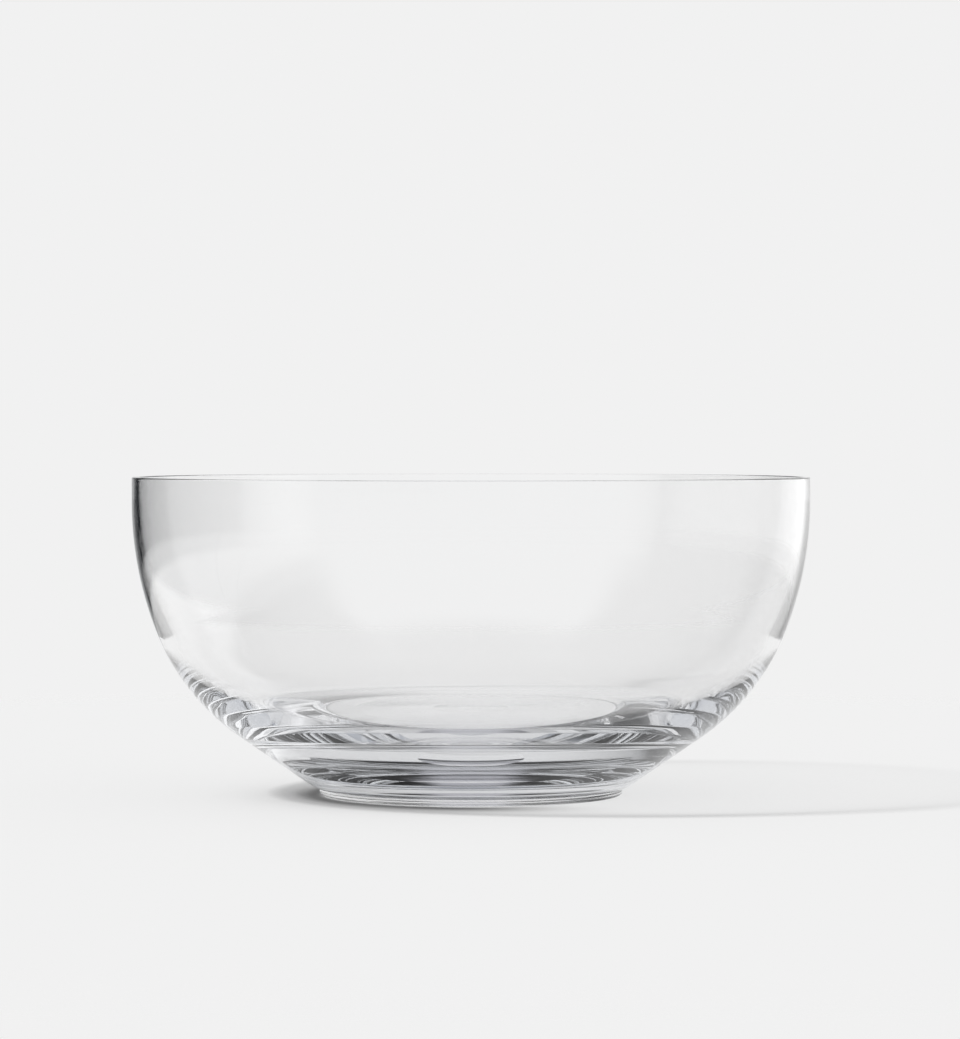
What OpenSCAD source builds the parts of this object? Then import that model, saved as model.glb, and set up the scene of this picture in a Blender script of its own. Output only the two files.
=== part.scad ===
// Clear glass serving bowl: a blown bowl with a heavy base that stands on a low cast foot.
// The origin is the centre of the plane that the foot rests on, with +Z up, in millimetres.

/* [Bowl outside] */
// Outside diameter at the rim
rim_d = 250; // [220:1:290]
// Height from the table to the rim
bowl_h = 117.5; // [105:0.5:135]
// Radius of the long curve from the upright rim into the side
side_r = 131; // [100:1:150]
// Radius of the fuller curve from the side into the sloping underwall
belly_r = 84; // [60:1:100]
// Radius of the short curve that flattens the underwall towards the foot
neck_r = 18; // [8:1:30]

/* [Bowl inside] */
// Wall thickness at the rim
rim_wall = 2.4; // [1.8:0.1:4]
// Radius of the polished edges of the rim
rim_edge_r = 0.6; // [0.2:0.1:0.85]
// Wall thickness where the side starts to curve in
side_wall = 2.8; // [2:0.1:4.5]
// Radius of the inside curve from the upright rim into the side
inner_side_r = 122; // [100:1:140]
// Radius of the inside curve from the side into the underwall
inner_belly_r = 60; // [40:1:80]
// Diameter at which the wall meets the level floor
floor_d = 156; // [150:1:162]
// Radius of that turn
floor_edge_r = 12; // [4:1:24]
// Height of the inside floor above the table
floor_h = 25.9; // [24:0.1:28]

/* [Foot] */
// Diameter of the foot
foot_d = 112; // [100:1:124]
// Height of the foot, from the table to its seam with the bowl
foot_h = 2.2; // [2:0.1:3.4]
// How far the foot stands out from the bowl at the seam
foot_lip = 0.7; // [0.3:0.1:1.5]
// Radius of the foot's upper edge
foot_top_r = 0.55; // [0.2:0.05:0.7]
// Radius of the foot's heel, where it meets the table
heel_r = 1.4; // [0.6:0.1:1.6]
// Width of the ring that the foot rests on
ring_w = 11; // [6:0.5:13]
// Height of the hollow under the foot, at the middle
hollow_h = 0.8; // [0.3:0.1:1]
// Diameter of the polished spot where the glassmaker's rod was ground off
spot_d = 28; // [16:1:40]
// Depth of the polished spot in the hollow
spot_depth = 0.8; // [0.3:0.1:0.9]

/* [Hidden] */
glass_color = [0.80, 0.87, 0.90, 0.55];

// How far a curve may stand off its points, and the count of points across the underside.
curve_sag = 0.02;
underside_steps = 24;
$fn = 180;

rim_r = rim_d / 2;
foot_r = foot_d / 2;
seam_r = foot_r - foot_lip;
ring_inner_r = foot_r - heel_r - ring_w;
spot_r = spot_d / 2;

// Corners of the outer outline, as shares of the rim's radius and of the height.
belly_corner_shares = [0.849, 0.307];
side_corner_share = 0.708;
// The underwall leaves the seam at a lower slope, up to this corner.
neck_w = 2.8;
neck_rise = 0.9;
// Where the inside belly corner stands from the outer one, inwards and upwards.
belly_wall = [3.4, 5.2];
// The inside starts to curve in a little above the outside.
side_rise = 1.2;

belly_corner = [rim_r * belly_corner_shares.x, bowl_h * belly_corner_shares.y];
side_corner = [rim_r, bowl_h * side_corner_share];

// The bowl's section: up the outside from the seam, over the rim and down the inside to the axis.
bowl_corners = [
    [seam_r, foot_h],
    [seam_r + neck_w, foot_h + neck_rise],
    belly_corner,
    side_corner,
    [rim_r, bowl_h],
    [rim_r - rim_wall, bowl_h],
    [rim_r - side_wall, side_corner.y + side_rise],
    [belly_corner.x - belly_wall.x, belly_corner.y + belly_wall.y],
    [floor_d / 2, floor_h],
    [0, floor_h]
];
bowl_radii = [
    0, neck_r, belly_r, side_r, rim_edge_r, rim_edge_r,
    inner_side_r, inner_belly_r, floor_edge_r, 0
];

// The foot's section, from the axis along the seam and round the heel to the resting ring.
foot_corners = [
    [0, foot_h],
    [seam_r, foot_h],
    [foot_r, foot_h],
    [foot_r, 0],
    [ring_inner_r, 0]
];
foot_radii = [0, 0, foot_top_r, heel_r, 0];

// Unit vector along v.
function unit(v) = v / norm(v);

// The vector v turned by an angle.
function turned(v, angle) = [
    v.x * cos(angle) - v.y * sin(angle),
    v.x * sin(angle) + v.y * cos(angle)
];

// Half the angle between the two sides that meet at a corner.
function half_angle(path, i) = acos(unit(path[i - 1] - path[i]) * unit(path[i + 1] - path[i])) / 2;

// How far from its corner a curve would start, with all the room that it wants.
function wanted_reach(path, radii, i) = radii[i] == 0 ? 0 : radii[i] / tan(half_angle(path, i));

// The same, where two curves on one side share its length as they need it.
function reach(path, radii, i) =
    let (
        own = wanted_reach(path, radii, i),
        before = own + wanted_reach(path, radii, i - 1),
        after = own + wanted_reach(path, radii, i + 1)
    )
    min(own, own / before * norm(path[i] - path[i - 1]), own / after * norm(path[i + 1] - path[i]));

// The points of the curve that rounds a corner, tangent to both of its sides.
function corner_points(path, radii, i) =
    radii[i] == 0 ? [path[i]] :
    let (
        u = unit(path[i - 1] - path[i]),
        v = unit(path[i + 1] - path[i]),
        half = half_angle(path, i),
        length = reach(path, radii, i),
        centre = path[i] + unit(u + v) * length / cos(half),
        start = path[i] + u * length - centre,
        sweep = sign(cross(v, u)) * (180 - 2 * half),
        step = 2 * acos(1 - curve_sag / norm(start)),
        steps = max(3, ceil(abs(sweep) / step))
    )
    [for (k = [0 : steps]) centre + turned(start, sweep * k / steps)];

// An outline through its corners, each rounded by its own radius.
function rounded(path, radii) = [
    for (i = [0 : len(path) - 1])
        each corner_points(path, radii, i)
];

// Height of the foot's underside at a distance from the axis: a shallow dome with the spot in it.
function underside(x) =
    hollow_h * (1 - pow(x / ring_inner_r, 2)) +
    (x < spot_r ? spot_depth * (1 - pow(x / spot_r, 2)) : 0);

// Points of the underside, from the resting ring in to the axis.
underside_points = [
    for (k = [1 : underside_steps])
        let (x = ring_inner_r * (1 - k / underside_steps))
        [x, underside(x)]
];

module bowl() {
    color(glass_color)
        rotate_extrude()
            polygon(concat(rounded(bowl_corners, bowl_radii), [[0, foot_h]]));
}

module foot() {
    color(glass_color)
        rotate_extrude()
            polygon(concat(rounded(foot_corners, foot_radii), underside_points));
}

bowl();
foot();
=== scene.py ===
"""Looks of a clear glass serving bowl: the blown bowl, its cast foot, and the studio round them."""

import math
from functools import partial

import bmesh
import bpy
from mathutils import Matrix, Vector


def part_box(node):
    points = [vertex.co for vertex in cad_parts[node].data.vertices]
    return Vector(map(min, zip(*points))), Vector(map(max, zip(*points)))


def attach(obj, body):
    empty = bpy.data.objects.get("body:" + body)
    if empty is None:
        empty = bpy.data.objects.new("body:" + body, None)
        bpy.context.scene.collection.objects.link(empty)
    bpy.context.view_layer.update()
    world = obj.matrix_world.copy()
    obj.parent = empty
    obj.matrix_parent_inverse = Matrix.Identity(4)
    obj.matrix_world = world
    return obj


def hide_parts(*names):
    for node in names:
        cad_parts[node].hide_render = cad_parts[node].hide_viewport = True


bl_info = {
    "name": "Glass Serving Bowl",
    "version": (1, 0, 0),
    "blender": (4, 5, 0),
    "location": "3D View > Sidebar > Glass Bowl",
    "description": "Turns a clear glass serving bowl and its foot, and sets a pale studio round it",
    "category": "Add Mesh",
}

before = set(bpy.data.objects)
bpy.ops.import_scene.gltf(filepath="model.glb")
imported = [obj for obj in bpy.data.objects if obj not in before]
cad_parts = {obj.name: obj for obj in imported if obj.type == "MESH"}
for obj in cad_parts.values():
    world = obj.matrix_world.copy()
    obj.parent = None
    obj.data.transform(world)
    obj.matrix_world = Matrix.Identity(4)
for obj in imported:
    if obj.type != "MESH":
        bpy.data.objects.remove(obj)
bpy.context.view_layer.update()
BOWL_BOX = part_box("bowl")
FOOT_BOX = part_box("foot")

BODY = "root"

# How far a facet may lie from its curve, and the least facets of a rounded corner.
OUTLINE_SAG = 0.000003
LEAST_CURVE_STEPS = 4
# Facets round the axis, across the spot under the foot, and from there to the resting ring.
TURN_STEPS = 320
SPOT_STEPS = 20
HOLLOW_STEPS = 60

# Corners of the outer outline, as shares of the rim's radius and of the height.
BELLY_CORNER_SHARES = (0.849, 0.307)
SIDE_CORNER_SHARE = 0.708

# Name of the mark on the faces where one piece fuses with the other.
SEAM_MARK = "fused"

# Slow waves in the glass, across, deep and high.
WAVES_PER_METRE = (14, 14, 120)

# How much light a surface of the glass lets through to the table where the light only grazes it.
GRAZING_PASS = 0.40
# How much of it the thick underwall lets through on the key lamp's side, where it bends the light
# inwards. It fades out over a range of heights, of distances from the axis, and of the cosine of
# the turn from the lamp.
UNDERWALL_PASS = 0.06
UNDERWALL_HEIGHTS = (0.004, 0.022)
UNDERWALL_REACH = (0.0555, 0.0565)
UNDERWALL_SIDE = (-0.3, 0.6)

# The camera, from the photograph: its distance, height and side step, how far its aim falls
# below the level, its lens in millimetres, and how far it sees.
CAMERA_DISTANCE = 1.5884
CAMERA_HEIGHT = 0.13465
CAMERA_STEP = 0.00332
CAMERA_FALL = math.radians(1.18838)
CAMERA_LENS = 148.96
CAMERA_REACH = 100

TABLE_R = 0.65
TABLE_FADE = 0.13
TABLE_STEPS = 96
# The thin air that is left under the foot, so that its underside mirrors.
TABLE_GAP = 0.00005
ROOM_R = 0.80
ROOM_STEPS = 96

# Cards of the studio that the glass shows: azimuth from the back to the right and half width,
# lower and upper edge, softness, all in degrees, and brightness. Each lies over those before it.
STUDIO_CARDS = (
    ("left flag's edge", -65, 45, -90, 50, 30, (0.240, 0.250, 0.260)),
    ("left flag", -65, 38, -90, 50, 5, (0.010, 0.011, 0.014)),
    ("right softbox", 75, 42, -30, 24, 8, (1.30, 1.30, 1.30)),
    ("dark ceiling", 0, 181, 30, 120, 6, (0.002, 0.002, 0.003)),
    ("back ceiling", 0, 12, 22, 62, 12, (0.62, 0.62, 0.66)),
    ("camera side", 180, 66, -2, 62, 20, (0.84, 0.85, 0.86)),
)

# How often light may turn in the glass, how many clear faces it may pass, and how bright one
# bounce may be, so that no stray sparks are left.
GLASS_BOUNCES = 40
CLEAR_PASSES = 80
BOUNCE_CLAMP = 8


class BowlSizes(bpy.types.PropertyGroup):
    """Sizes of the blown bowl"""

    rim_d: bpy.props.FloatProperty(
        name="Rim diameter", description="Outside diameter at the rim",
        default=BOWL_BOX[1].x - BOWL_BOX[0].x, unit="LENGTH",
    )
    height: bpy.props.FloatProperty(
        name="Height", description="From the table to the rim",
        default=BOWL_BOX[1].z, unit="LENGTH",
    )
    side_r: bpy.props.FloatProperty(
        name="Side radius", description="Long curve from the upright rim into the side",
        default=0.131, unit="LENGTH",
    )
    belly_r: bpy.props.FloatProperty(
        name="Belly radius", description="Fuller curve from the side into the underwall",
        default=0.084, unit="LENGTH",
    )
    neck_r: bpy.props.FloatProperty(
        name="Neck radius", description="Short curve that flattens the underwall at the foot",
        default=0.018, unit="LENGTH",
    )
    neck_w: bpy.props.FloatProperty(
        name="Neck width", description="How far the flatter neck runs out from the seam",
        default=0.0028, unit="LENGTH",
    )
    neck_rise: bpy.props.FloatProperty(
        name="Neck rise", description="How far the flatter neck climbs from the seam",
        default=0.0009, unit="LENGTH",
    )
    rim_wall: bpy.props.FloatProperty(
        name="Rim wall", description="Wall thickness at the rim",
        default=0.0024, unit="LENGTH",
    )
    rim_edge_r: bpy.props.FloatProperty(
        name="Rim edge radius", description="Radius of the polished edges of the rim",
        default=0.0006, unit="LENGTH",
    )
    side_wall: bpy.props.FloatProperty(
        name="Side wall", description="Wall thickness where the side starts to curve in",
        default=0.0028, unit="LENGTH",
    )
    side_rise: bpy.props.FloatProperty(
        name="Inside start", description="How much higher the inside starts to curve in",
        default=0.0012, unit="LENGTH",
    )
    inner_side_r: bpy.props.FloatProperty(
        name="Inside side radius", description="Inside curve from the upright rim into the side",
        default=0.122, unit="LENGTH",
    )
    inner_belly_r: bpy.props.FloatProperty(
        name="Inside belly radius", description="Inside curve from the side into the underwall",
        default=0.060, unit="LENGTH",
    )
    belly_wall: bpy.props.FloatVectorProperty(
        name="Belly wall", description="Inside belly corner from the outer one, inwards and up",
        default=(0.0034, 0.0052), size=2, unit="LENGTH",
    )
    floor_d: bpy.props.FloatProperty(
        name="Floor diameter", description="Diameter at which the wall meets the level floor",
        default=0.156, unit="LENGTH",
    )
    floor_edge_r: bpy.props.FloatProperty(
        name="Floor edge radius", description="Radius of that turn",
        default=0.012, unit="LENGTH",
    )
    floor_h: bpy.props.FloatProperty(
        name="Floor height", description="Height of the inside floor above the table",
        default=0.0259, unit="LENGTH",
    )


class FootSizes(bpy.types.PropertyGroup):
    """Sizes of the cast foot"""

    foot_d: bpy.props.FloatProperty(
        name="Foot diameter", description="Outside diameter of the foot",
        default=FOOT_BOX[1].x - FOOT_BOX[0].x, unit="LENGTH",
    )
    foot_h: bpy.props.FloatProperty(
        name="Foot height", description="From the table to the seam with the bowl",
        default=FOOT_BOX[1].z, unit="LENGTH",
    )
    foot_lip: bpy.props.FloatProperty(
        name="Foot lip", description="How far the foot stands out from the bowl at the seam",
        default=0.0007, unit="LENGTH",
    )
    top_r: bpy.props.FloatProperty(
        name="Top edge radius", description="Radius of the foot's upper edge",
        default=0.00055, unit="LENGTH",
    )
    heel_r: bpy.props.FloatProperty(
        name="Heel radius", description="Radius where the foot meets the table",
        default=0.0014, unit="LENGTH",
    )
    ring_w: bpy.props.FloatProperty(
        name="Ring width", description="Width of the ring that the foot rests on",
        default=0.011, unit="LENGTH",
    )
    hollow_h: bpy.props.FloatProperty(
        name="Hollow height", description="Height of the hollow under the foot",
        default=0.0008, unit="LENGTH",
    )
    spot_d: bpy.props.FloatProperty(
        name="Spot diameter", description="Diameter of the ground and polished spot",
        default=0.028, unit="LENGTH",
    )
    spot_depth: bpy.props.FloatProperty(
        name="Spot depth", description="Depth of the polished spot in the hollow",
        default=0.0008, unit="LENGTH",
    )


class GlassLook(bpy.types.PropertyGroup):
    """Finish of the clear glass"""

    ior: bpy.props.FloatProperty(
        name="IOR", description="How strongly the glass bends light",
        default=1.52,
    )
    tint: bpy.props.FloatVectorProperty(
        name="Depth tint", description="Colour that light keeps in the depth of the glass",
        default=(0.86, 0.868, 0.885), subtype="COLOR",
    )
    tint_density: bpy.props.FloatProperty(
        name="Tint density", description="How quickly the depth tint builds up, per metre",
        default=6.5,
    )
    wave_height: bpy.props.FloatProperty(
        name="Wave height", description="Depth of the slow waves that turning hot glass leaves",
        default=0.00001, unit="LENGTH",
    )


class StudioLook(bpy.types.PropertyGroup):
    """Light and backdrop of the studio"""

    backdrop: bpy.props.FloatVectorProperty(
        name="Backdrop", description="Colour of the backdrop and of the table",
        default=(0.880, 0.880, 0.880), subtype="COLOR",
    )
    key_share: bpy.props.FloatProperty(
        name="Key share", description="Share of the table's light that comes from the key lamp",
        default=0.55, subtype="FACTOR",
    )
    key_azimuth: bpy.props.FloatProperty(
        name="Key azimuth", description="Side of the key lamp, from the back to the right",
        default=math.radians(-113.5), subtype="ANGLE",
    )
    key_elevation: bpy.props.FloatProperty(
        name="Key elevation", description="Height of the key lamp above the table's plane",
        default=math.radians(49.7), subtype="ANGLE",
    )
    key_width: bpy.props.FloatProperty(
        name="Key width", description="Apparent width of the key lamp",
        default=math.radians(6.5), subtype="ANGLE",
    )


# Meshes


def half_angle(path, i):
    """Half the angle between the two sides that meet at a corner."""
    return (path[i - 1] - path[i]).angle(path[(i + 1) % len(path)] - path[i]) / 2


def wanted_reach(path, radii, i):
    """How far from its corner a curve would start, with all the room that it wants."""
    return radii[i] / math.tan(half_angle(path, i)) if radii[i] else 0.0


def reach(path, radii, i):
    """The same, where two curves on one side share its length as they need it."""
    own = wanted_reach(path, radii, i)
    room = [own]
    for other in (i - 1, (i + 1) % len(path)):
        shared = own + wanted_reach(path, radii, other)
        room.append(own / shared * (path[other] - path[i]).length)
    return min(room)


def facing(side):
    """The way that the glass faces along a side of its outline, which has the glass on its left."""
    return Vector((side.y, -side.x)).normalized()


def corner_points(path, radii, i):
    """Points of the outline at a corner, each with the way that it faces."""
    back = path[i - 1] - path[i]
    ahead = path[(i + 1) % len(path)] - path[i]
    if not radii[i]:
        return [(path[i], facing(-back)), (path[i], facing(ahead))]
    half = half_angle(path, i)
    length = reach(path, radii, i)
    middle = (back.normalized() + ahead.normalized()).normalized()
    centre = path[i] + middle * (length / math.cos(half))
    start = path[i] + back.normalized() * length - centre
    sweep = math.copysign(math.pi - 2 * half, ahead.x * back.y - ahead.y * back.x)
    facet = 2 * math.acos(1 - min(1.0, OUTLINE_SAG / start.length))
    steps = max(LEAST_CURVE_STEPS, math.ceil(abs(sweep) / facet))
    turns = [Matrix.Rotation(sweep * k / steps, 2) for k in range(steps + 1)]
    return [(centre + turn @ start, turn @ facing(-back)) for turn in turns]


def rounded(path, radii):
    """Points of an open outline through its corners, each rounded by its own radius."""
    path = [Vector(p) for p in path]
    return [p for i in range(len(path)) for p in corner_points(path, radii, i)][1:-1]


def bowl_outline(bowl, foot):
    """The bowl's section: out along the seam, up the outside, over the rim and down the inside."""
    rim_r = bowl.rim_d / 2
    seam_r = foot.foot_d / 2 - foot.foot_lip
    belly = (rim_r * BELLY_CORNER_SHARES[0], bowl.height * BELLY_CORNER_SHARES[1])
    side = (rim_r, bowl.height * SIDE_CORNER_SHARE)
    path = [
        (0, foot.foot_h),
        (seam_r, foot.foot_h),
        (seam_r + bowl.neck_w, foot.foot_h + bowl.neck_rise),
        belly,
        side,
        (rim_r, bowl.height),
        (rim_r - bowl.rim_wall, bowl.height),
        (rim_r - bowl.side_wall, side[1] + bowl.side_rise),
        (belly[0] - bowl.belly_wall[0], belly[1] + bowl.belly_wall[1]),
        (bowl.floor_d / 2, bowl.floor_h),
        (0, bowl.floor_h),
    ]
    radii = [
        0, 0, bowl.neck_r, bowl.belly_r, bowl.side_r, bowl.rim_edge_r, bowl.rim_edge_r,
        bowl.inner_side_r, bowl.inner_belly_r, bowl.floor_edge_r, 0,
    ]
    return rounded(path, radii)


def underside_points(foot, ring_inner_r):
    """Points of the hollow under the foot, from the middle out. The spot's edge is sharp."""
    spot_r = foot.spot_d / 2
    across_spot = [(spot_r * k / SPOT_STEPS, foot.spot_depth) for k in range(SPOT_STEPS + 1)]
    beyond = ring_inner_r - spot_r
    to_ring = [(spot_r + beyond * k / HOLLOW_STEPS, 0) for k in range(HOLLOW_STEPS + 1)]
    points = []
    for x, depth in across_spot + to_ring:
        height = foot.hollow_h * (1 - (x / ring_inner_r) ** 2) + depth * (1 - (x / spot_r) ** 2)
        slope = -2 * x * (foot.hollow_h / ring_inner_r ** 2 + depth / spot_r ** 2)
        points.append((Vector((x, height)), facing(Vector((1, slope)))))
    return points


def foot_outline(foot):
    """The foot's section: out along the underside, round the heel and back along the seam."""
    foot_r = foot.foot_d / 2
    ring_inner_r = foot_r - foot.heel_r - foot.ring_w
    path = [
        (ring_inner_r, 0),
        (foot_r, 0),
        (foot_r, foot.foot_h),
        (foot_r - foot.foot_lip, foot.foot_h),
        (0, foot.foot_h),
    ]
    return underside_points(foot, ring_inner_r) + rounded(path, [0, foot.heel_r, foot.top_r, 0, 0])


def glass_piece(name, outline, foot, node):
    """Turns an outline about its axis, marks the faces of its seam, and puts it for a CAD node."""
    angles = [math.tau * k / TURN_STEPS for k in range(TURN_STEPS)]
    turns = [(math.cos(angle), math.sin(angle)) for angle in angles]
    seam_r = foot.foot_d / 2 - foot.foot_lip
    verts, faces, fused, normals = [], [], [], []

    def new_ring(point):
        """Indices of the points that one point of the outline makes round the axis."""
        first = len(verts)
        places = turns if point.x else turns[:1]
        verts.extend((point.x * c, point.x * s, point.y) for c, s in places)
        return range(first, len(verts))

    ring = new_ring(outline[0][0])
    for (here, facing_here), (there, facing_there) in zip(outline, outline[1:]):
        # A sharp corner has two points in one place, which face two ways.
        if here == there:
            continue
        next_ring = new_ring(there)
        level = max(abs(p.y - foot.foot_h) for p in (here, there)) < OUTLINE_SAG
        inside = level and max(here.x, there.x) < seam_r + OUTLINE_SAG
        for k in range(TURN_STEPS):
            m = (k + 1) % TURN_STEPS
            corners = {
                ring[k % len(ring)]: (facing_here, k),
                ring[m % len(ring)]: (facing_here, m),
                next_ring[m % len(next_ring)]: (facing_there, m),
                next_ring[k % len(next_ring)]: (facing_there, k),
            }
            faces.append(list(corners))
            fused.append(float(inside))
            for way, j in corners.values():
                normals.append((way.x * turns[j][0], way.x * turns[j][1], way.y))
        ring = next_ring
    data = bpy.data.meshes.new(name)
    data.from_pydata(verts, [], faces)
    data.materials.append(polished_glass())
    data.attributes.new(SEAM_MARK, "FLOAT", "FACE").data.foreach_set("value", fused)
    data.shade_smooth()
    data.normals_split_custom_set(normals)
    piece = bpy.data.objects.new(name, data)
    bpy.context.scene.collection.objects.link(piece)
    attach(piece, BODY)
    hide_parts(node)


# Shader nodes


def node_tree_of(owner):
    """The emptied node tree of a material or a world, and its output node."""
    owner.use_nodes = True
    tree = owner.node_tree
    tree.nodes.clear()
    kind = "World" if isinstance(owner, bpy.types.World) else "Material"
    return tree, tree.nodes.new("ShaderNodeOutput" + kind)


def node_group(name, inputs, output, kind):
    """An empty group with number inputs and one output, and the nodes of both."""
    group = bpy.data.node_groups.new(name, "ShaderNodeTree")
    for socket in inputs:
        group.interface.new_socket(socket, in_out="INPUT", socket_type="NodeSocketFloat")
    group.interface.new_socket(output, in_out="OUTPUT", socket_type=kind)
    return group, group.nodes.new("NodeGroupInput"), group.nodes.new("NodeGroupOutput")


def placed(tree, group, values):
    """A node in a tree that uses a group with its own values."""
    node = tree.nodes.new("ShaderNodeGroup")
    node.node_tree = group
    for socket, value in values.items():
        node.inputs[socket].default_value = value
    return node


def maths(tree, operation, *values):
    """The result of a sum, where each value is a number or the output of another node."""
    node = tree.nodes.new("ShaderNodeMath")
    node.operation = operation
    for socket, value in zip(node.inputs, values):
        if isinstance(value, bpy.types.NodeSocket):
            tree.links.new(value, socket)
        else:
            socket.default_value = value
    return node.outputs["Value"]


def smooth_step(tree, value, low, high):
    """0 below one limit and 1 above the other, with a smooth rise from one to the other."""
    node = tree.nodes.new("ShaderNodeMapRange")
    node.interpolation_type = "SMOOTHSTEP"
    node.inputs["From Min"].default_value = low
    node.inputs["From Max"].default_value = high
    tree.links.new(value, node.inputs["Value"])
    return node.outputs["Result"]


def ramp(tree, share, start, end):
    """A number that goes from start to end as a share goes from 0 to 1."""
    node = tree.nodes.new("ShaderNodeMapRange")
    node.inputs["To Min"].default_value = start
    node.inputs["To Max"].default_value = end
    tree.links.new(share, node.inputs["Value"])
    return node.outputs["Result"]


def mixed(tree, share, first, second):
    """A shader that goes from the first to the second as a share goes from 0 to 1."""
    node = tree.nodes.new("ShaderNodeMixShader")
    for source, socket in zip((share, first, second), node.inputs):
        tree.links.new(source, socket)
    return node.outputs["Shader"]


def split_xyz(tree, vector):
    """The three parts of a vector."""
    node = tree.nodes.new("ShaderNodeSeparateXYZ")
    tree.links.new(vector, node.inputs["Vector"])
    return tuple(node.outputs)


def object_place(tree):
    """Where a point lies in its own object."""
    return tree.nodes.new("ShaderNodeTexCoord").outputs["Object"]


# Materials


def turning_waves():
    """The group that finds the normal of slow waves, long round the axis and short along it."""
    group, given, result = node_group("turning_waves", ["Height"], "Normal", "NodeSocketVector")
    stretch = group.nodes.new("ShaderNodeMapping")
    stretch.inputs["Scale"].default_value = WAVES_PER_METRE
    waves = group.nodes.new("ShaderNodeTexNoise")
    waves.inputs["Scale"].default_value = 1
    waves.inputs["Detail"].default_value = 1
    bump = group.nodes.new("ShaderNodeBump")
    join = group.links.new
    join(object_place(group), stretch.inputs["Vector"])
    join(stretch.outputs["Vector"], waves.inputs["Vector"])
    join(waves.outputs["Fac"], bump.inputs["Height"])
    join(given.outputs["Height"], bump.inputs["Distance"])
    join(bump.outputs["Normal"], result.inputs["Normal"])
    return group


def underwall_mask():
    """The group that finds the thick underwall on one side of the bowl."""
    group, given, result = node_group("underwall_mask", ["Azimuth"], "Mask", "NodeSocketFloat")
    calc = partial(maths, group)
    x, y, z = split_xyz(group, object_place(group))
    distance = calc("SQRT", calc("ADD", calc("MULTIPLY", x, x), calc("MULTIPLY", y, y)))
    turn = calc("SUBTRACT", calc("ARCTAN2", x, y), given.outputs["Azimuth"])
    low = calc("SUBTRACT", 1, smooth_step(group, z, *UNDERWALL_HEIGHTS))
    outer = smooth_step(group, distance, *UNDERWALL_REACH)
    towards = smooth_step(group, calc("COSINE", turn), *UNDERWALL_SIDE)
    mask = calc("MULTIPLY", calc("MULTIPLY", low, outer), towards)
    group.links.new(mask, result.inputs["Mask"])
    return group


def polished_glass():
    """The clear glass of both pieces. Light for the table passes it, less where it grazes it."""
    made = bpy.data.materials.get("polished_glass")
    if made:
        return made
    look = bpy.context.scene.glass_look
    made = bpy.data.materials.new("polished_glass")
    tree, output = node_tree_of(made)
    join = tree.links.new

    glass = tree.nodes.new("ShaderNodeBsdfPrincipled")
    glass.inputs["Base Color"].default_value = (1, 1, 1, 1)
    glass.inputs["Roughness"].default_value = 0
    glass.inputs["IOR"].default_value = look.ior
    glass.inputs["Transmission Weight"].default_value = 1
    waves = placed(tree, turning_waves(), {"Height": look.wave_height})
    join(waves.outputs["Normal"], glass.inputs["Normal"])
    depth = tree.nodes.new("ShaderNodeVolumeAbsorption")
    depth.inputs["Color"].default_value = (*look.tint, 1)
    depth.inputs["Density"].default_value = look.tint_density
    join(depth.outputs["Volume"], output.inputs["Volume"])

    # Light that leaves the glass is dimmed by the same angle as light that enters it.
    side = tree.nodes.new("ShaderNodeNewGeometry")
    mirrored = tree.nodes.new("ShaderNodeFresnel")
    join(ramp(tree, side.outputs["Backfacing"], look.ior, 1 / look.ior), mirrored.inputs["IOR"])
    grazed = ramp(tree, mirrored.outputs["Fac"], 1, GRAZING_PASS)
    key_azimuth = bpy.context.scene.studio_look.key_azimuth
    underwall = placed(tree, underwall_mask(), {"Azimuth": key_azimuth})
    bent = ramp(tree, underwall.outputs["Mask"], 1, UNDERWALL_PASS)
    lit_through = tree.nodes.new("ShaderNodeBsdfTransparent")
    join(maths(tree, "MULTIPLY", grazed, bent), lit_through.inputs["Color"])
    path = tree.nodes.new("ShaderNodeLightPath")
    for_table = maths(
        tree, "MAXIMUM", path.outputs["Is Shadow Ray"], path.outputs["Is Diffuse Ray"],
    )
    surface = mixed(tree, for_table, glass.outputs["BSDF"], lit_through.outputs["BSDF"])

    # At the seam the glass runs through from piece to piece, and nothing shows.
    seam = tree.nodes.new("ShaderNodeAttribute")
    seam.attribute_name = SEAM_MARK
    through = tree.nodes.new("ShaderNodeBsdfTransparent")
    surface = mixed(tree, seam.outputs["Fac"], surface, through.outputs["BSDF"])
    join(surface, output.inputs["Surface"])
    return made


def studio_card():
    """The group that finds how much of a direction lies on a studio card."""
    names = ["Azimuth", "Half Width", "Low", "High", "Softness"]
    group, given, result = node_group("studio_card", names, "Mask", "NodeSocketFloat")
    group.interface.new_socket("Direction", in_out="INPUT", socket_type="NodeSocketVector")
    calc = partial(maths, group)

    def soft_edge(value, edge):
        """0 below an edge and 1 above it, over the card's softness."""
        share = calc("DIVIDE", calc("SUBTRACT", value, edge), given.outputs["Softness"])
        return smooth_step(group, share, -0.5, 0.5)

    level = group.nodes.new("ShaderNodeVectorMath")
    level.operation = "NORMALIZE"
    group.links.new(given.outputs["Direction"], level.inputs[0])
    x, y, z = split_xyz(group, level.outputs["Vector"])
    azimuth = calc("DEGREES", calc("ARCTAN2", x, y))
    elevation = calc("DEGREES", calc("ARCSINE", z))
    turn = calc("WRAP", calc("SUBTRACT", azimuth, given.outputs["Azimuth"]), 180, -180)
    across = calc("SUBTRACT", 1, soft_edge(calc("ABSOLUTE", turn), given.outputs["Half Width"]))
    above = soft_edge(elevation, given.outputs["Low"])
    below = calc("SUBTRACT", 1, soft_edge(elevation, given.outputs["High"]))
    mask = calc("MULTIPLY", across, calc("MULTIPLY", above, below))
    group.links.new(mask, result.inputs["Mask"])
    return group


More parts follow.
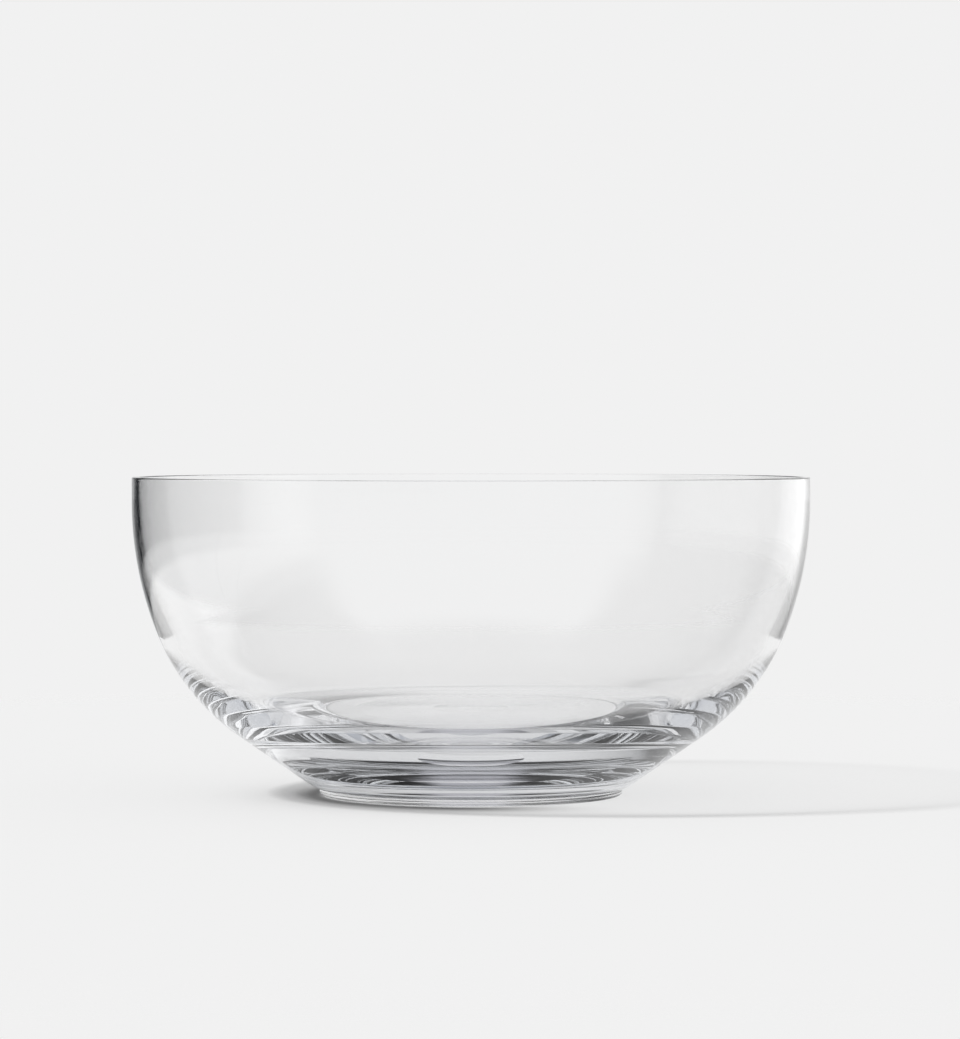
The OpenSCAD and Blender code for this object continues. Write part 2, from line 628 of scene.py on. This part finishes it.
def room_wall(look):
    """The pale wall of the room, with the flags and softboxes on it that only the glass shows."""
    wall = bpy.data.materials.new("room_wall")
    tree, output = node_tree_of(wall)
    direction = object_place(tree)
    group = studio_card()
    backdrop = tree.nodes.new("ShaderNodeRGB")
    colour = backdrop.outputs["Color"]
    colour.default_value = (*look.backdrop, 1)
    for name, azimuth, half_width, low, high, softness, shade in STUDIO_CARDS:
        card = placed(tree, group, {
            "Azimuth": azimuth, "Half Width": half_width, "Low": low, "High": high,
            "Softness": softness,
        })
        card.label = name
        tree.links.new(direction, card.inputs["Direction"])
        mix = tree.nodes.new("ShaderNodeMix")
        mix.data_type = "RGBA"
        under, over = [socket for socket in mix.inputs if socket.type == "RGBA"]
        over.default_value = (*shade, 1)
        tree.links.new(card.outputs["Mask"], mix.inputs["Factor"])
        tree.links.new(colour, under)
        colour = [socket for socket in mix.outputs if socket.type == "RGBA"][0]
    glow = tree.nodes.new("ShaderNodeEmission")
    tree.links.new(colour, glow.inputs["Color"])
    tree.links.new(glow.outputs["Emission"], output.inputs["Surface"])
    wall.cycles.emission_sampling = "NONE"
    return wall


def table_paper(look):
    """Matt pale paper of the table, which fades out into the backdrop away from the bowl."""
    paper = bpy.data.materials.new("table_paper")
    tree, output = node_tree_of(paper)
    surface = tree.nodes.new("ShaderNodeBsdfPrincipled")
    surface.inputs["Base Color"].default_value = (*look.backdrop, 1)
    surface.inputs["Roughness"].default_value = 1
    surface.inputs["Specular IOR Level"].default_value = 0
    gone = tree.nodes.new("ShaderNodeBsdfTransparent")
    distance = tree.nodes.new("ShaderNodeVectorMath")
    distance.operation = "LENGTH"
    tree.links.new(object_place(tree), distance.inputs[0])
    fade = smooth_step(tree, distance.outputs["Value"], TABLE_R - TABLE_FADE, TABLE_R)
    faded = mixed(tree, fade, surface.outputs["BSDF"], gone.outputs["BSDF"])
    tree.links.new(faded, output.inputs["Surface"])
    return paper


# Studio


def studio_world(look):
    """The backdrop that the camera sees, and the soft light on the table from all round."""
    world = bpy.data.worlds.new("studio")
    tree, output = node_tree_of(world)
    plain = tree.nodes.new("ShaderNodeBackground")
    plain.inputs["Color"].default_value = (*look.backdrop, 1)
    soft = tree.nodes.new("ShaderNodeBackground")
    soft.inputs["Color"].default_value = (1, 1, 1, 1)
    soft.inputs["Strength"].default_value = 1 - look.key_share
    seen = tree.nodes.new("ShaderNodeLightPath").outputs["Is Camera Ray"]
    light = mixed(tree, seen, soft.outputs["Background"], plain.outputs["Background"])
    tree.links.new(light, output.inputs["Surface"])
    world.cycles.sampling_method = "NONE"
    return world


def studio_item(name, mesh, material):
    """An object of the studio, from a mesh that is used up."""
    data = bpy.data.meshes.new(name)
    mesh.to_mesh(data)
    mesh.free()
    data.materials.append(material)
    item = bpy.data.objects.new(name, data)
    bpy.context.scene.collection.objects.link(item)
    return item


def lay_table(look):
    """The round table, a hair below the foot."""
    mesh = bmesh.new()
    bmesh.ops.create_circle(mesh, cap_ends=True, segments=TABLE_STEPS, radius=TABLE_R)
    table = studio_item("table", mesh, table_paper(look))
    table.location.z = -TABLE_GAP


def build_room(look):
    """The room round the bowl, which shows only in the glass."""
    mesh = bmesh.new()
    bmesh.ops.create_uvsphere(
        mesh, u_segments=ROOM_STEPS, v_segments=ROOM_STEPS // 2, radius=ROOM_R,
    )
    room = studio_item("room", mesh, room_wall(look))
    room.visible_camera = False
    room.visible_diffuse = False
    room.visible_shadow = False


def hang_key_lamp(look):
    """The key lamp, which gives its share of the table's light and shows in nothing."""
    lamp = bpy.data.lights.new("key_lamp", "SUN")
    lamp.angle = look.key_width
    lamp.energy = math.pi * look.key_share / math.sin(look.key_elevation)
    key = bpy.data.objects.new("key_lamp", lamp)
    flat = math.cos(look.key_elevation)
    towards = Vector((
        flat * math.sin(look.key_azimuth),
        flat * math.cos(look.key_azimuth),
        math.sin(look.key_elevation),
    ))
    key.rotation_euler = towards.to_track_quat("Z", "Y").to_euler()
    key.visible_glossy = False
    key.visible_transmission = False
    bpy.context.scene.collection.objects.link(key)


def place_camera():
    """The camera, where the photograph was taken from."""
    lens = bpy.data.cameras.new("camera")
    lens.lens = CAMERA_LENS
    lens.clip_end = CAMERA_REACH
    camera = bpy.data.objects.new("camera", lens)
    camera.location = (CAMERA_STEP, -CAMERA_DISTANCE, CAMERA_HEIGHT)
    camera.rotation_euler = (math.pi / 2 - CAMERA_FALL, 0, 0)
    bpy.context.scene.collection.objects.link(camera)
    bpy.context.scene.camera = camera


# Operators and panel


class GLASSBOWL_OT_turn_bowl(bpy.types.Operator):
    """Turn the blown bowl from its section"""

    bl_idname = "glassbowl.turn_bowl"
    bl_label = "Turn the bowl"

    def execute(self, context):
        foot = context.scene.foot_sizes
        glass_piece("blown_bowl", bowl_outline(context.scene.bowl_sizes, foot), foot, "bowl")
        return {"FINISHED"}


class GLASSBOWL_OT_turn_foot(bpy.types.Operator):
    """Turn the cast foot from its section"""

    bl_idname = "glassbowl.turn_foot"
    bl_label = "Turn the foot"

    def execute(self, context):
        foot = context.scene.foot_sizes
        glass_piece("cast_foot", foot_outline(foot), foot, "foot")
        return {"FINISHED"}


class GLASSBOWL_OT_set_studio(bpy.types.Operator):
    """Lay the table, build the room round it, and place the key lamp and the camera"""

    bl_idname = "glassbowl.set_studio"
    bl_label = "Set the studio"

    def execute(self, context):
        scene = context.scene
        look = scene.studio_look
        lay_table(look)
        scene.world = studio_world(look)
        build_room(look)
        hang_key_lamp(look)
        place_camera()
        scene.view_settings.view_transform = "Standard"
        scene.cycles.max_bounces = GLASS_BOUNCES
        scene.cycles.transmission_bounces = GLASS_BOUNCES
        scene.cycles.glossy_bounces = GLASS_BOUNCES
        scene.cycles.transparent_max_bounces = CLEAR_PASSES
        scene.cycles.sample_clamp_indirect = BOUNCE_CLAMP
        scene.cycles.use_denoising = True
        return {"FINISHED"}


OPERATORS = (GLASSBOWL_OT_turn_bowl, GLASSBOWL_OT_turn_foot, GLASSBOWL_OT_set_studio)
GROUPS = {
    "bowl_sizes": BowlSizes,
    "foot_sizes": FootSizes,
    "glass_look": GlassLook,
    "studio_look": StudioLook,
}


class GLASSBOWL_PT_tools(bpy.types.Panel):
    """The bowl's pieces and its studio, in the order that they are made"""

    bl_idname = "GLASSBOWL_PT_tools"
    bl_label = "Glass Bowl"
    bl_space_type = "VIEW_3D"
    bl_region_type = "UI"
    bl_category = "Glass Bowl"

    def draw(self, context):
        column = self.layout.column(align=True)
        for operator in OPERATORS:
            column.operator(operator.bl_idname)
        for name, group in GROUPS.items():
            values = getattr(context.scene, name)
            box = self.layout.box()
            for value in group.__annotations__:
                box.prop(values, value)


CLASSES = (*GROUPS.values(), *OPERATORS, GLASSBOWL_PT_tools)


def register():
    """Makes the sizes, the looks, the operators and the panel known to Blender."""
    for cls in CLASSES:
        bpy.utils.register_class(cls)
    for name, group in GROUPS.items():
        setattr(bpy.types.Scene, name, bpy.props.PointerProperty(type=group))


def unregister():
    """Takes back all that register made known."""
    for name in GROUPS:
        delattr(bpy.types.Scene, name)
    for cls in reversed(CLASSES):
        bpy.utils.unregister_class(cls)


def main():
    """Makes the bowl and its studio."""
    register()
    bpy.ops.glassbowl.turn_bowl()
    bpy.ops.glassbowl.turn_foot()
    bpy.ops.glassbowl.set_studio()


if __name__ == "__main__":
    main()
